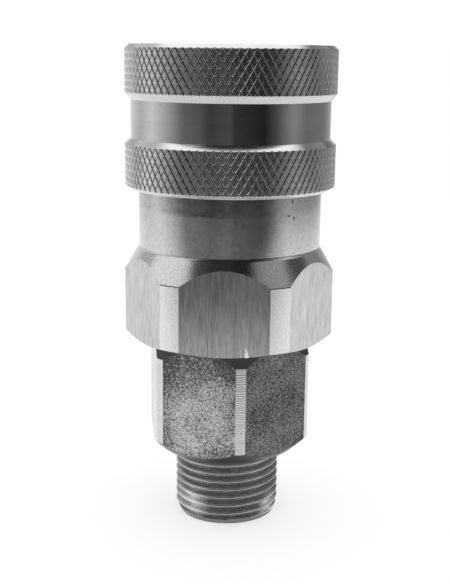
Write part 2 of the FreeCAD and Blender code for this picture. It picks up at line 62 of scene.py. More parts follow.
class Skin:
    """Closed skin made of rings of points round the coupling's axis."""

    def __init__(self):
        self.points = []
        self.faces = []
        self.slots = []

    def ring(self, points):
        """Add a ring and give the numbers of its points."""
        first = len(self.points)
        self.points.extend(points)
        return range(first, len(self.points))

    def face(self, corners, slot):
        self.faces.append(corners)
        self.slots.append(slot)

    def join(self, lower, upper, slot):
        """Four-sided faces between two rings with as many points."""
        count = len(lower)
        for here in range(count):
            after = (here + 1) % count
            slot_here = slot(here) if callable(slot) else slot
            self.face((lower[here], lower[after], upper[after], upper[here]), slot_here)

    def cross(self, lower, upper, middles, slot):
        """Four triangles to each field between two rings, round a point in its middle."""
        count = len(lower)
        for here in range(count):
            after = (here + 1) % count
            around = (lower[here], lower[after], upper[after], upper[here])
            for side in range(4):
                corners = (around[side], around[(side + 1) % 4], middles[here])
                self.face(corners, slot(corners) if callable(slot) else slot)

    def thin(self, fine, coarse, slot):
        """Faces from a ring to one with a whole share of its points."""
        share = len(fine) // len(coarse)
        for here in range(len(coarse)):
            after = (here + 1) % len(coarse)
            edge = [fine[(here * share + step) % len(fine)] for step in range(share + 1)]
            self.face((*edge, coarse[after], coarse[here]), slot)

    def finish(self, name, materials, sharp_angle):
        """Object with outward faces, smooth except at edges sharper than an angle in degrees."""
        mesh = bpy.data.meshes.new(name)
        mesh.from_pydata([(x * MM, y * MM, z * MM) for x, y, z in self.points], [], self.faces)
        for material in materials:
            mesh.materials.append(material)
        mesh.polygons.foreach_set("material_index", self.slots)
        return link_mesh(name, tidy_mesh(mesh, sharp_angle))


def tidy_mesh(mesh, sharp_angle):
    """Turn all faces outwards and smooth them, except at sharp edges and between two finishes."""
    work = bmesh.new()
    work.from_mesh(mesh)
    bmesh.ops.recalc_face_normals(work, faces=work.faces)
    for face in work.faces:
        face.smooth = True
    for edge in work.edges:
        finishes = {face.material_index for face in edge.link_faces}
        sharp = edge.calc_face_angle(0.0) > math.radians(sharp_angle)
        edge.smooth = not sharp and len(finishes) == 1
    work.to_mesh(mesh)
    work.free()
    mesh.update()
    return mesh


def link_mesh(name, mesh):
    piece = bpy.data.objects.new(name, mesh)
    bpy.context.scene.collection.objects.link(piece)
    return piece


def circle(angles, radius, height):
    """Points at one radius and height."""
    return [(radius * math.cos(angle), radius * math.sin(angle), height) for angle in angles]


def even_angles(count):
    return [2 * math.pi * step / count for step in range(count)]


def eased(outline, size):
    """Outline of (radius, height) with each corner cut by a small chamfer."""
    made = []
    for here, corner in enumerate(outline):
        before = Vector(outline[here - 1])
        after = Vector(outline[(here + 1) % len(outline)])
        corner = Vector(corner)
        back, on = before - corner, after - corner
        cut = min(size, back.length / 3, on.length / 3)
        made.append(tuple(corner + back.normalized() * cut))
        made.append(tuple(corner + on.normalized() * cut))
    return made


def hexagon_angles(flats, corner_radius, corner_angle, on_flat, on_corner):
    """Angles round a hexagon whose corners are turned off, with the corners' ends among them."""
    half_flat = math.acos(flats / 2 / corner_radius)
    half_corner = math.pi / 6 - half_flat
    made = []
    for side in range(6):
        corner = math.radians(corner_angle) + side * math.pi / 3
        made += [corner - half_corner + 2 * half_corner * step / on_corner for step in range(on_corner)]
        middle = corner + math.pi / 6
        made += [middle - half_flat + 2 * half_flat * step / on_flat for step in range(on_flat)]
    return made


def flat_radius(angle, flats, corner_angle):
    """Distance from the axis to the hexagon's flat at an angle."""
    turn = (angle - math.radians(corner_angle)) % (math.pi / 3) - math.pi / 6
    return flats / 2 / math.cos(turn)


def boolean_cut(piece, cutter):
    """Cut one mesh out of another for good."""
    cut = piece.modifiers.new("cut", "BOOLEAN")
    cut.operation = "DIFFERENCE"
    cut.solver = "EXACT"
    cut.object = cutter
    graph = bpy.context.evaluated_depsgraph_get()
    made = bpy.data.meshes.new_from_object(piece.evaluated_get(graph))
    piece.modifiers.clear()
    piece.data = made
    bpy.data.objects.remove(cutter)


def add_node(tree, kind, **settings):
    """Shader node with its settings."""
    made = tree.nodes.new(kind)
    for name, setting in settings.items():
        setattr(made, name, setting)
    return made


class Look:
    """Procedural metal, rubber or plastic, built node by node round one shader."""

    def __init__(self, name, colour, metallic, roughness):
        self.material = bpy.data.materials.new(name)
        self.material.use_nodes = True
        self.tree = self.material.node_tree
        self.shader = self.tree.nodes["Principled BSDF"]
        self.shader.inputs["Metallic"].default_value = metallic
        self.shader.inputs["Roughness"].default_value = roughness
        self.shader.inputs["Base Color"].default_value = (*colour, 1)
        self.colour = colour
        self.place = self.node("ShaderNodeTexCoord").outputs["Object"]
        self.normal = None

    def node(self, kind, **settings):
        return add_node(self.tree, kind, **settings)

    def feed(self, socket, source):
        """Set a socket to a number, or link it to another socket."""
        if isinstance(source, (int, float)):
            socket.default_value = source
        else:
            self.tree.links.new(source, socket)

    def maths(self, operation, first, second=0.0):
        made = self.node("ShaderNodeMath", operation=operation)
        self.feed(made.inputs[0], first)
        self.feed(made.inputs[1], second)
        return made.outputs[0]

    def ramp(self, source, low, high, out_low, out_high):
        """Map a range of numbers to another, held at its ends."""
        made = self.node("ShaderNodeMapRange")
        self.feed(made.inputs["Value"], source)
        made.inputs["From Min"].default_value = low
        made.inputs["From Max"].default_value = high
        made.inputs["To Min"].default_value = out_low
        made.inputs["To Max"].default_value = out_high
        return made.outputs["Result"]

    def noise(self, scale, stretch=(1, 1, 1), detail=4.0, roughness=0.55):
        """Noise from 0 to 1; the scale is in features to the metre."""
        mapping = self.node("ShaderNodeMapping")
        mapping.inputs["Scale"].default_value = stretch
        self.tree.links.new(self.place, mapping.inputs["Vector"])
        made = self.node("ShaderNodeTexNoise")
        made.inputs["Scale"].default_value = scale
        made.inputs["Detail"].default_value = detail
        made.inputs["Roughness"].default_value = roughness
        self.tree.links.new(mapping.outputs["Vector"], made.inputs["Vector"])
        return made.outputs["Fac"]

    def specks(self, scale, size):
        """Small round specks: 1 in a speck, 0 beside it."""
        made = self.node("ShaderNodeTexVoronoi")
        made.inputs["Scale"].default_value = scale
        self.tree.links.new(self.place, made.inputs["Vector"])
        return self.ramp(made.outputs["Distance"], size * 0.6, size, 1.0, 0.0)

    def along(self, axis):
        """Place along the X, Y or Z axis, in metres."""
        split = self.node("ShaderNodeSeparateXYZ")
        self.tree.links.new(self.place, split.inputs[0])
        return split.outputs[axis]

    def spot(self, centre, size, flat):
        """Single mark in millimetres: 1 at its centre, 0 beyond its size; flat presses it in height."""
        stretch = Vector((1, 1, flat))
        scaled = self.node("ShaderNodeVectorMath", operation="MULTIPLY")
        scaled.inputs[1].default_value = stretch
        self.tree.links.new(self.place, scaled.inputs[0])
        away = self.node("ShaderNodeVectorMath", operation="DISTANCE")
        away.inputs[1].default_value = Vector(centre) * stretch * MM
        self.tree.links.new(scaled.outputs["Vector"], away.inputs[0])
        return self.ramp(away.outputs["Value"], size * 0.4 * MM, size * MM, 1.0, 0.0)

    def tint(self, factor, low, high):
        """Colour between two shades of the base colour."""
        made = self.node("ShaderNodeMix", data_type="RGBA")
        self.feed(made.inputs["Factor"], factor)
        made.inputs["A"].default_value = (*[part * low for part in self.colour], 1)
        made.inputs["B"].default_value = (*[part * high for part in self.colour], 1)
        self.tree.links.new(made.outputs["Result"], self.shader.inputs["Base Color"])

    def rough(self, factor, low, high):
        self.feed(self.shader.inputs["Roughness"], self.ramp(factor, 0.25, 0.75, low, high))

    def bump(self, height, depth):
        """Relief of a height map; the depth is in millimetres."""
        made = self.node("ShaderNodeBump")
        made.inputs["Strength"].default_value = 1.0
        made.inputs["Distance"].default_value = depth * MM
        self.feed(made.inputs["Height"], height)
        if self.normal:
            self.tree.links.new(self.normal, made.inputs["Normal"])
        self.normal = made.outputs["Normal"]
        self.tree.links.new(self.normal, self.shader.inputs["Normal"])


STEEL = (0.62, 0.62, 0.62)
THREAD_RADIUS = 8.331


def turned_look(name, shade, roughness, rings):
    """Steel with lathe rings, smudges and a few pits; rings, from 0 to 1, says how clear the rings are."""
    look = Look(name, tuple(part * shade for part in STEEL), 1.0, roughness)
    lines = look.noise(900, stretch=(0.02, 0.02, 6), detail=4)
    cloud = look.noise(90, stretch=(1, 1, 2), detail=5)
    pits = look.specks(420, 0.05)
    look.rough(cloud, roughness - 0.02, roughness + 0.05)
    grooves = look.ramp(lines, 0.3, 0.7, -0.15 * rings, 0.15 * rings)
    level = look.maths("ADD", look.ramp(cloud, 0.3, 0.7, 0.6, 0.8), grooves)
    look.tint(look.maths("SUBTRACT", level, pits), 0.4, 1.0)
    look.bump(lines, 0.004 * rings)
    return look.material


# Marks on the tube: place, size and how flat each one is
TUBE_MARKS = (
    ((-5.04, -13.30, 50.63), 0.75, 4.0),
    ((-3.86, -13.69, 50.63), 0.6, 4.0),
    ((-2.84, -13.93, 50.61), 0.5, 4.0),
    ((8.66, -11.28, 50.41), 0.4, 1.5),
    ((9.14, -10.89, 52.49), 0.3, 1.0),
    ((9.42, -10.65, 49.95), 0.35, 1.0),
)
# Lower edge of the rubbed belt under the sleeve, how soft it is, and the belt's darkest patch as a mark
RUB_LINE = 50.4
RUB_SOFT = 0.3
RUB_PATCH = ((-4.86, -13.36, 52.5), 7.5, 0.6)


def tube_look(name):
    """Ground steel with a rubbed, smudged belt under the sleeve and single dark marks."""
    look = Look(name, tuple(part * 1.15 for part in STEEL), 1.0, 0.12)
    lines = look.noise(900, stretch=(0.02, 0.02, 6), detail=4)
    mottle = look.noise(1600, detail=4)
    cloud = look.noise(140, stretch=(1, 1, 1.6), detail=5)
    pits = look.specks(420, 0.05)
    look.rough(cloud, 0.09, 0.16)
    belt = look.ramp(look.along("Z"), (RUB_LINE - RUB_SOFT) * MM, (RUB_LINE + RUB_SOFT) * MM, 0.0, 1.0)
    wear_and_painted_light = look.ramp(look.spot(*RUB_PATCH), 0.0, 1.0, 0.12, 1.0)
    uneven = look.ramp(cloud, 0.35, 0.65, 0.3, 0.75)
    smudge = look.maths("MULTIPLY", look.maths("MULTIPLY", belt, wear_and_painted_light), uneven)
    grain = look.ramp(mottle, 0.3, 0.7, 0.65, 0.9)
    shade = look.maths("ADD", grain, look.ramp(lines, 0.3, 0.7, -0.05, 0.05))
    for dark in [smudge, pits] + [look.spot(*mark) for mark in TUBE_MARKS]:
        shade = look.maths("SUBTRACT", shade, dark)
    look.tint(shade, 0.3, 1.0)
    look.bump(lines, 0.0015)
    return look.material


def speckled_look(name, shade, roughness, contrast):
    """Turned steel with a fine, speckled skin and a few dark pits."""
    look = Look(name, tuple(part * shade for part in STEEL), 1.0, roughness)
    grain = look.noise(4000, detail=4, roughness=0.7)
    pits = look.specks(300, 0.07)
    look.rough(grain, roughness - 0.04, roughness + 0.06)
    look.tint(look.maths("SUBTRACT", look.ramp(grain, 0.35, 0.65, 0.0, 1.0), pits), 1.0 - contrast, 1.0)
    look.bump(grain, 0.003)
    return look.material


def streaked_look(name):
    """Milled flats with fine streaks along the axis and a little dirt rubbed into them."""
    look = Look(name, STEEL, 1.0, 0.3)
    streaks = look.noise(6000, stretch=(1, 1, 0.05), detail=3, roughness=0.7)
    cloud = look.noise(220, stretch=(1, 1, 0.35), detail=5)
    dirt = look.ramp(look.noise(2600, stretch=(1, 1, 0.06), detail=4), 0.6, 0.7, 0.0, 0.8)
    pits = look.specks(650, 0.06)
    look.rough(cloud, 0.12, 0.18)
    grey = look.ramp(cloud, 0.3, 0.7, 0.1, 0.35)
    shade = look.maths("ADD", look.ramp(streaks, 0.38, 0.62, 0.0, 0.8), grey)
    look.tint(look.maths("SUBTRACT", look.maths("SUBTRACT", shade, dirt), pits), 0.52, 1.0)
    look.bump(streaks, 0.0035)
    return look.material


# Painted highlight on one flat of the adapter, as a paler patch: middle, reach and how flat it is
PAINTED_HIGHLIGHT = ((-4.4, -11.2, 18.5), 8.5, 0.8)


def grainy_look(name, dark, pale, highlight_share):
    """Flats of drawn bar, speckled between two shades; the last argument, from 0 to 1, brings out the
    painted highlight, a paler patch.
    """
    look = Look(name, STEEL, 1.0, 0.4)
    grain = look.noise(3500, detail=4, roughness=0.75)
    cloud = look.noise(180, detail=4)
    # Painted highlight: lighter near the patch's middle and darker away from it
    patch = look.ramp(look.spot(*PAINTED_HIGHLIGHT), 0.0, 1.0, -0.1 * highlight_share, 0.03 * highlight_share)
    look.rough(cloud, 0.34, 0.45)
    grown = look.maths("ADD", look.maths("ADD", grain, patch), look.ramp(cloud, 0.3, 0.7, -0.06, 0.06))
    look.tint(look.ramp(grown, 0.4, 0.62, 0.0, 1.0), dark, pale)
    look.bump(grain, 0.05)
    return look.material


def knurled_look(name, shade, roughness):
    """Rolled knurl, with marks from handling."""
    look = Look(name, tuple(part * shade for part in STEEL), 1.0, roughness)
    fine = look.noise(3200, detail=3)
    cloud = look.noise(160, detail=5)
    look.rough(cloud, roughness - 0.04, roughness + 0.08)
    look.tint(look.ramp(cloud, 0.3, 0.7, 0.0, 1.0), 0.8, 1.0)
    look.bump(fine, 0.004)
    return look.material


# Depth of the thread's crests with a painted highlight, and heights between which its dark end fades out
CREST = 0.35
DARK_END = (0.2, 1.1)
# Painted highlights near the thread's end: middle, reach and how flat each one is
THREAD_HIGHLIGHTS = (((-6.4, -5.3, 2.6), 4.4, 1.3), ((7.3, -4.0, 2.2), 3.2, 1.3))


def thread_look(name):
    """Cut thread, dark in its roots and at its end, with a painted highlight on its crests and painted
    highlights in some places.
    """
    look = Look(name, STEEL, 1.0, 0.3)
    fine = look.noise(1800, stretch=(1, 1, 3), detail=4)
    cloud = look.noise(200, detail=4)
    flat = look.node("ShaderNodeVectorMath", operation="MULTIPLY")
    flat.inputs[1].default_value = (1, 1, 0)
    look.tree.links.new(look.place, flat.inputs[0])
    away = look.node("ShaderNodeVectorMath", operation="LENGTH")
    look.tree.links.new(flat.outputs["Vector"], away.inputs[0])
    # Painted highlight on the crests, over the outer part of the thread's depth
    wear_and_painted_light = look.ramp(away.outputs["Value"], (THREAD_RADIUS - CREST) * MM, THREAD_RADIUS * MM, 0.0, 0.34)
    # Painted highlights in some places near the thread's end
    for place in THREAD_HIGHLIGHTS:
        painted_sheen = look.maths("MULTIPLY", look.spot(*place), look.ramp(cloud, 0.35, 0.65, 0.2, 0.8))
        wear_and_painted_light = look.maths("ADD", wear_and_painted_light, painted_sheen)
    end = look.ramp(look.along("Z"), DARK_END[0] * MM, DARK_END[1] * MM, 0.35, 0.0)
    look.rough(cloud, 0.2, 0.32)
    shade = look.maths("ADD", look.maths("SUBTRACT", wear_and_painted_light, end), look.ramp(fine, 0.3, 0.7, 0.0, 0.25))
    look.tint(shade, 0.34, 1.35)
    look.bump(fine, 0.01)
    return look.material


def plain_steel_look(name, shade, roughness):
    """Steel of a small inner piece."""
    look = Look(name, tuple(part * shade for part in STEEL), 1.0, roughness)
    fine = look.noise(2200, stretch=(1, 1, 2), detail=3)
    cloud = look.noise(260, detail=4)
    look.rough(cloud, roughness - 0.05, roughness + 0.08)
    look.tint(cloud, 0.85, 1.05)
    look.bump(fine, 0.006)
    return look.material


def soft_look(name, colour, roughness):
    """Rubber or plastic with a fine skin."""
    look = Look(name, colour, 0.0, roughness)
    fine = look.noise(2500, detail=4)
    cloud = look.noise(300, detail=4)
    look.rough(cloud, roughness - 0.08, roughness + 0.08)
    look.tint(cloud, 0.75, 1.15)
    look.bump(fine, 0.01)
    return look.material


body_turned = turned_look("body_turned", 1.1, 0.2, 1.0)
body_tube = tube_look("body_tube")
body_cone = speckled_look("body_cone", 1.25, 0.18, 0.25)
body_flats = streaked_look("body_flats")
body_strips = speckled_look("body_strips", 1.4, 0.2, 0.2)
sleeve_turned = turned_look("sleeve_turned", 1.15, 0.1, 0.3)
sleeve_knurl = knurled_look("sleeve_knurl", 1.1, 0.16)
# Lit and shaded copies of the knurl: a painted glint for flanks that look up, painted shade for flanks that
# look down
knurl_painted_glint = knurled_look("knurl_painted_glint", 1.6, 0.22)
knurl_painted_shade = knurled_look("knurl_painted_shade", 0.4, 0.3)
adapter_turned = turned_look("adapter_turned", 0.9, 0.32, 1.0)
adapter_flats = grainy_look("adapter_flats", 0.14, 1.15, 1.0)
# Painted shade and painted light: darker and paler copies of the adapter's flats for two of its sides
adapter_painted_shade_flat = grainy_look("adapter_painted_shade_flat", 0.05, 0.44, 0.0)
adapter_painted_light_flat = grainy_look("adapter_painted_light_flat", 1.0, 1.4, 0.0)
adapter_thread = thread_look("adapter_thread")
adapter_strips = turned_look("adapter_strips", 1.2, 0.22, 1.0)
adapter_chamfer = plain_steel_look("adapter_chamfer", 0.15, 0.3)
edge_line = plain_steel_look("edge_line", 0.12, 0.4)
chipped_steel = plain_steel_look("chipped_steel", 1.6, 0.4)


# Body: hexagon, cone, tube and nose; its finishes are numbered in the order of its materials
BODY_TURNED, BODY_FLAT, BODY_STRIP, BODY_CHIP, BODY_CONE, BODY_TUBE, BODY_EDGE = range(7)
BODY_FLATS = 30.0
BODY_CORNER = 16.43
BODY_CORNER_ANGLE = 57.5
BODY_BOTTOM = 29.6
# Radius of the lower face and height of the bevel beside it
BODY_CHAMFER = (14.76, 0.75)
# Cone over the hexagon: foot, half angle, and the round that ends it, with its steps
CONE_FOOT = 40.3
CONE_ANGLE = 30.0
CONE_ROUND = 1.2
CONE_STEPS = 6
TUBE = 14.22
TUBE_MIDDLE = 49.5
SHOULDER = 54.3
SHOULDER_CHAMFER = 0.3
# Height of the dark line over the hexagon's corners
EDGE_LINE = 0.16
# Points round the hexagon, on each flat and on each corner
BODY_ON_FLAT, BODY_ON_CORNER = 22, 8
# Nose and bores of the body, as radii
NOSE = 11.65
RING_GROOVE = 10.7
SOCKET = 8.5
PLUG_BORE = 6.05
SEAL_GROOVE = 7.9
THROAT = 6.4
CHAMBER = 9.2
SPIGOT_BORE = 10.95
NOSE_TOP = 74.2
# Outline of the nose and of the bores under it, as radius and height
BODY_INSIDE = (
    (NOSE, SHOULDER),
    (NOSE, 71.52),
    (RING_GROOVE, 71.52),
    (RING_GROOVE, 72.8),
    (NOSE, 72.8),
    (NOSE, 73.6),
    (11.05, NOSE_TOP),
    (9.3, NOSE_TOP),
    (SOCKET, 73.4),
    (SOCKET, 62.71),
    (PLUG_BORE, 61.3),
    (PLUG_BORE, 59.2),
    (SEAL_GROOVE, 59.2),
    (SEAL_GROOVE, 55.9),
    (PLUG_BORE, 55.9),
    (PLUG_BORE, 55.15),
    (THROAT, 54.8),
    (THROAT, 51.8),
    (CHAMBER, 49.0),
    (CHAMBER, 41.8),
    (SPIGOT_BORE, 41.8),
    (SPIGOT_BORE, 29.9),
    (11.25, BODY_BOTTOM),
)
# Tapered ball holes in the nose
BALL_HOLES = 8
BALL_LEVEL = 68.9
BALL_HOLE_MIDDLE = 10.6
BALL_HOLE_LENGTH = 6.0
BALL_HOLE_RADII = (1.83, 2.46)
# Corners of the chip in the front flat's lower edge: place along the flat, depth behind it and height
CHIP = ((3.2, -0.04, 31.6), (2.95, -0.06, 29.3), (3.95, -0.06, 29.3), (3.3, 0.5, 29.3))


def cone_height(radius):
    return CONE_FOOT + (BODY_CORNER - radius) / math.tan(math.radians(CONE_ANGLE))


def make_body():
    """The body's skin, with its ball holes and the chip in the hexagon's lower edge."""
    angles = hexagon_angles(BODY_FLATS, BODY_CORNER, BODY_CORNER_ANGLE, BODY_ON_FLAT, BODY_ON_CORNER)
    outer = [min(BODY_CORNER, flat_radius(angle, BODY_FLATS, BODY_CORNER_ANGLE)) for angle in angles]
    face_radius, chamfer_height = BODY_CHAMFER
    slope = chamfer_height / (BODY_CORNER - face_radius)
    skin = Skin()

    def hexagon_ring(height_at):
        return skin.ring(
            [(r * math.cos(a), r * math.sin(a), height_at(r)) for a, r in zip(angles, outer)]
        )

    def on_corner(here):
        return here % (BODY_ON_FLAT + BODY_ON_CORNER) < BODY_ON_CORNER

    def on_side(here):
        return BODY_STRIP if on_corner(here) else BODY_FLAT

    def on_edge(here):
        return BODY_EDGE if on_corner(here) else BODY_FLAT

    lower = hexagon_ring(lambda r: BODY_BOTTOM + (r - face_radius) * slope)
    edge = hexagon_ring(lambda r: cone_height(r) - EDGE_LINE)
    upper = hexagon_ring(cone_height)
    bend = math.radians(CONE_ANGLE)
    tangent = CONE_ROUND * math.tan(bend / 2)
    cone_top = cone_height(TUBE)
    cone = []
    for step in range(CONE_STEPS + 1):
        turn = bend * (1 - step / CONE_STEPS)
        cone.append(
            (TUBE + CONE_ROUND * (1 - math.cos(turn)), cone_top + tangent - CONE_ROUND * math.sin(turn))
        )
    tube = [
        (TUBE, TUBE_MIDDLE),
        (TUBE, SHOULDER - SHOULDER_CHAMFER),
        (TUBE - SHOULDER_CHAMFER, SHOULDER),
    ]
    inside = eased(BODY_INSIDE, EASED)
    first = skin.ring(circle(angles, face_radius, BODY_BOTTOM))
    skin.join(first, lower, BODY_TURNED)
    skin.join(lower, edge, on_side)
    skin.join(edge, upper, on_edge)
    last = upper
    for points, slot in ((cone, BODY_CONE), (tube, BODY_TUBE), (inside, BODY_TURNED)):
        for radius, height in points:
            here = skin.ring(circle(angles, radius, height))
            skin.join(last, here, slot)
            last = here
    skin.join(last, first, BODY_TURNED)
    materials = [body_turned, body_flats, body_strips, chipped_steel, body_cone, body_tube, edge_line]
    piece = skin.finish("body_shell", materials, SHARP)
    boolean_cut(piece, make_ball_holes())
    boolean_cut(piece, make_chip())
    tidy_mesh(piece.data, SHARP)
    return piece


def make_ball_holes():
    """Tapered pins, to be cut out of the nose."""
    work = bmesh.new()
    inner, outer = BALL_HOLE_RADII
    outwards = Matrix.Translation(Vector((BALL_HOLE_MIDDLE, 0, BALL_LEVEL)) * MM)
    lying = Matrix.Rotation(math.pi / 2, 4, "Y")
    for number in range(BALL_HOLES):
        turn = Matrix.Rotation(number * 2 * math.pi / BALL_HOLES, 4, "Z")
        bmesh.ops.create_cone(
            work,
            cap_ends=True,
            segments=48,
            radius1=inner * MM,
            radius2=outer * MM,
            depth=BALL_HOLE_LENGTH * MM,
            matrix=turn @ outwards @ lying,
        )
    mesh = bpy.data.meshes.new("ball_holes")
    work.to_mesh(mesh)
    work.free()
    return link_mesh("ball_holes", mesh)


def make_chip():
    """Wedge to be cut out of the lower edge of the front flat; the cut's faces take its finish."""
    facing = math.radians(BODY_CORNER_ANGLE - 150)
    out = Vector((math.cos(facing), math.sin(facing), 0))
    along = Vector((-math.sin(facing), math.cos(facing), 0))
    corners = []
    for across, depth, height in CHIP:
        corners.append((out * (BODY_FLATS / 2 - depth) + along * across + Vector((0, 0, height))) * MM)
    mesh = bpy.data.meshes.new("chip")
    mesh.from_pydata(corners, [], [(0, 1, 2), (0, 3, 1), (0, 2, 3), (1, 3, 2)])
    mesh.materials.append(chipped_steel)
    return link_mesh("chip", tidy_mesh(mesh, SHARP_CHIP))


# Release sleeve: two knurled bands with a plain groove between; finishes in the order of its materials
SLEEVE_TURNED, SLEEVE_KNURL, SLEEVE_PAINTED_GLINT, SLEEVE_PAINTED_SHADE = range(4)
SLEEVE = 16.25
SLEEVE_BOTTOM = 53.24
SLEEVE_TOP = 74.8
SLEEVE_BOTTOM_EDGE = 15.7
SLEEVE_TOP_EDGE = 15.72
GROOVE = 15.37
GROOVE_FOOT = 60.885
GROOVE_ROWS = (62.8, 64.7, 66.65)
# Diamonds round the sleeve, height of one, depth of their grooves, depth at which the grooves run out on a
# chamfer, and steps of the mesh to a diamond
KNURL_COUNT = 86
KNURL_HEIGHT = 2.04
KNURL_DEPTH = 0.115
KNURL_RUN_OUT = 0.1
KNURL_STEPS = 8
# Share of a step kept free between a band's edge and its first row of points
KNURL_MARGIN = 0.2
# Points of the knurl to one point of the plain parts
KNURL_FINENESS = 4
# Difference of radius that counts as none
FLUSH = 0.01
# Heights and radii of the sleeve's outside, and the places in it at which the two bands start
OUTLINE = (
    (SLEEVE_BOTTOM, SLEEVE_BOTTOM_EDGE),
    (53.79, SLEEVE),
    (60.065, SLEEVE),
    (GROOVE_FOOT, GROOVE),
    (GROOVE_ROWS[-1], GROOVE),
    (67.73, SLEEVE),
    (74.18, SLEEVE),
    (SLEEVE_TOP, SLEEVE_TOP_EDGE),
)
BAND_STARTS = (1, 5)
# Bores of the sleeve, as radii
SLEEVE_MOUTH = 13.5
BALL_RECESS = 12.65
BALL_LAND = 11.9
SLEEVE_GUIDE = 11.72
SLEEVE_BORE = 14.29
# Outline of the sleeve's inside from its top down, as radius and height
SLEEVE_INSIDE = (
    (SLEEVE_TOP_EDGE, SLEEVE_TOP),
    (14.0, SLEEVE_TOP),
    (SLEEVE_MOUTH, 74.3),
    (SLEEVE_MOUTH, 71.54),
    (BALL_RECESS, 71.54),
    (BALL_RECESS, 70.65),
    (BALL_LAND, 69.9),
    (BALL_LAND, 67.0),
    (SLEEVE_GUIDE, 66.82),
    (SLEEVE_GUIDE, 65.32),
    (SLEEVE_BORE, 65.32),
    (SLEEVE_BORE, 53.64),
    (14.69, SLEEVE_BOTTOM),
    (SLEEVE_BOTTOM_EDGE, SLEEVE_BOTTOM),
)


def run_out(edge, beyond):
    """Height on the chamfer beside a band at which the knurl's grooves end."""
    (height, radius), (end, end_radius) = OUTLINE[edge], OUTLINE[beyond]
    return height + (end - height) * KNURL_RUN_OUT / (radius - end_radius)


def sleeve_outline(height):
    """Radius of the sleeve's outside without the knurl."""
    for (low, radius_low), (high, radius_high) in zip(OUTLINE, OUTLINE[1:]):
        if height <= high:
            return radius_low + (radius_high - radius_low) * (height - low) / (high - low)
    return OUTLINE[-1][1]


def knurled_radius(across, height):
    """Radius on the knurl; across counts diamonds round the sleeve."""
    along = height / KNURL_HEIGHT
    groove = 1 / KNURL_STEPS
    nearest = min(abs(line - round(line)) for line in (across + along, across - along))
    sunk = KNURL_DEPTH * max(0.0, 1 - nearest / groove)
    return min(sleeve_outline(height), SLEEVE - sunk)


def on_lower_edge(place):
    """True beside the lower half of a diamond's edges, where a glint is painted on the flanks that look up.
    """
    across = math.atan2(place.y, place.x) / (2 * math.pi) * KNURL_COUNT
    along = place.z / KNURL_HEIGHT
    falling, rising = across + along, across - along
    if abs(falling - round(falling)) < abs(rising - round(rising)):
        return rising % 1.0 > 0.5
    return falling % 1.0 < 0.5


def make_sleeve():
    """The sleeve's skin with its knurl cut as real diamonds."""
    columns = KNURL_COUNT * KNURL_STEPS
    step_angle = 2 * math.pi / columns
    coarse = even_angles(columns // KNURL_FINENESS)
    skin = Skin()

    def knurled_points(height, shift):
        made = []
        for column in range(columns):
            radius = knurled_radius((column + shift) / KNURL_STEPS, height)
            angle = (column + shift) * step_angle
            made.append((radius * math.cos(angle), radius * math.sin(angle), height))
        return made

    def finish_of(corners):
        """Plain on a diamond's top, painted shade on a flank that looks down, a painted glint on some that
        look up.
        """
        a, b, c = (Vector(skin.points[corner]) for corner in corners)
        if min(point.xy.length for point in (a, b, c)) > SLEEVE - FLUSH:
            return SLEEVE_KNURL
        if (b - a).cross(c - a).z < 0:
            return SLEEVE_PAINTED_SHADE
        return SLEEVE_PAINTED_GLINT if on_lower_edge((a + b + c) / 3) else SLEEVE_KNURL

    rows = []
    rise = KNURL_HEIGHT / KNURL_STEPS
    for edge in BAND_STARTS:
        low, high = OUTLINE[edge][0], OUTLINE[edge + 1][0]
        first = math.ceil(low / rise + KNURL_MARGIN)
        last = math.floor(high / rise - KNURL_MARGIN)
        levels = [run_out(edge, edge - 1), low]
        levels += [level * rise for level in range(first, last + 1)]
        levels += [high, run_out(edge + 1, edge + 2)]
        rows.append(levels)

    def band(levels):
        rings = [skin.ring(knurled_points(level, 0)) for level in levels]
        for (lower, below), (upper, above) in zip(zip(rings, levels), zip(rings[1:], levels[1:])):
            middles = skin.ring(knurled_points((below + above) / 2, 0.5))
            on_band = SLEEVE - sleeve_outline((below + above) / 2) < FLUSH
            skin.cross(lower, upper, middles, finish_of if on_band else SLEEVE_KNURL)
        return rings[0], rings[-1]

    lower_band = band(rows[0])
    upper_band = band(rows[1])
    last = skin.ring(circle(coarse, GROOVE, GROOVE_FOOT))
    skin.thin(lower_band[1], last, SLEEVE_TURNED)
    for height in GROOVE_ROWS:
        here = skin.ring(circle(coarse, GROOVE, height))
        skin.join(last, here, SLEEVE_TURNED)
        last = here
    skin.thin(upper_band[0], last, SLEEVE_TURNED)
    inside = eased(SLEEVE_INSIDE, EASED)
    rings = [skin.ring(circle(coarse, *point)) for point in inside[1:-1]]
    skin.thin(upper_band[1], rings[0], SLEEVE_TURNED)
    for before, after in zip(rings, rings[1:]):
        skin.join(before, after, SLEEVE_TURNED)
    skin.thin(lower_band[0], rings[-1], SLEEVE_TURNED)
    materials = [sleeve_turned, sleeve_knurl, knurl_painted_glint, knurl_painted_shade]
    return skin.finish("knurled_sleeve", materials, SHARP)


# Adapter: male thread, hexagon and spigot; finishes in the order of its materials
(
    ADAPTER_TURNED,
    ADAPTER_FLAT,
    ADAPTER_STRIP,
    ADAPTER_THREAD,
    ADAPTER_BEVEL,
    ADAPTER_SHADED_FLAT,
    ADAPTER_LIT_FLAT,
) = range(7)
# Sides of the hexagon that have a finish of their own, as painted light: a lit, paler copy of the flats'
# finish on one side and a shaded, darker copy on another
LIT_AND_SHADED_SIDES = {2: ADAPTER_LIT_FLAT, 4: ADAPTER_SHADED_FLAT}
# Points round the hexagon, on each flat and on each corner
ADAPTER_ON_FLAT, ADAPTER_ON_CORNER = 18, 6
ADAPTER_FLATS = 24.0
ADAPTER_CORNER = 13.425
ADAPTER_CORNER_ANGLE = 38.35
# Radii of the hexagon's lower and upper face, and height of the bevels beside them
ADAPTER_FACES = (11.225, 11.9)
ADAPTER_CHAMFER = 2.08
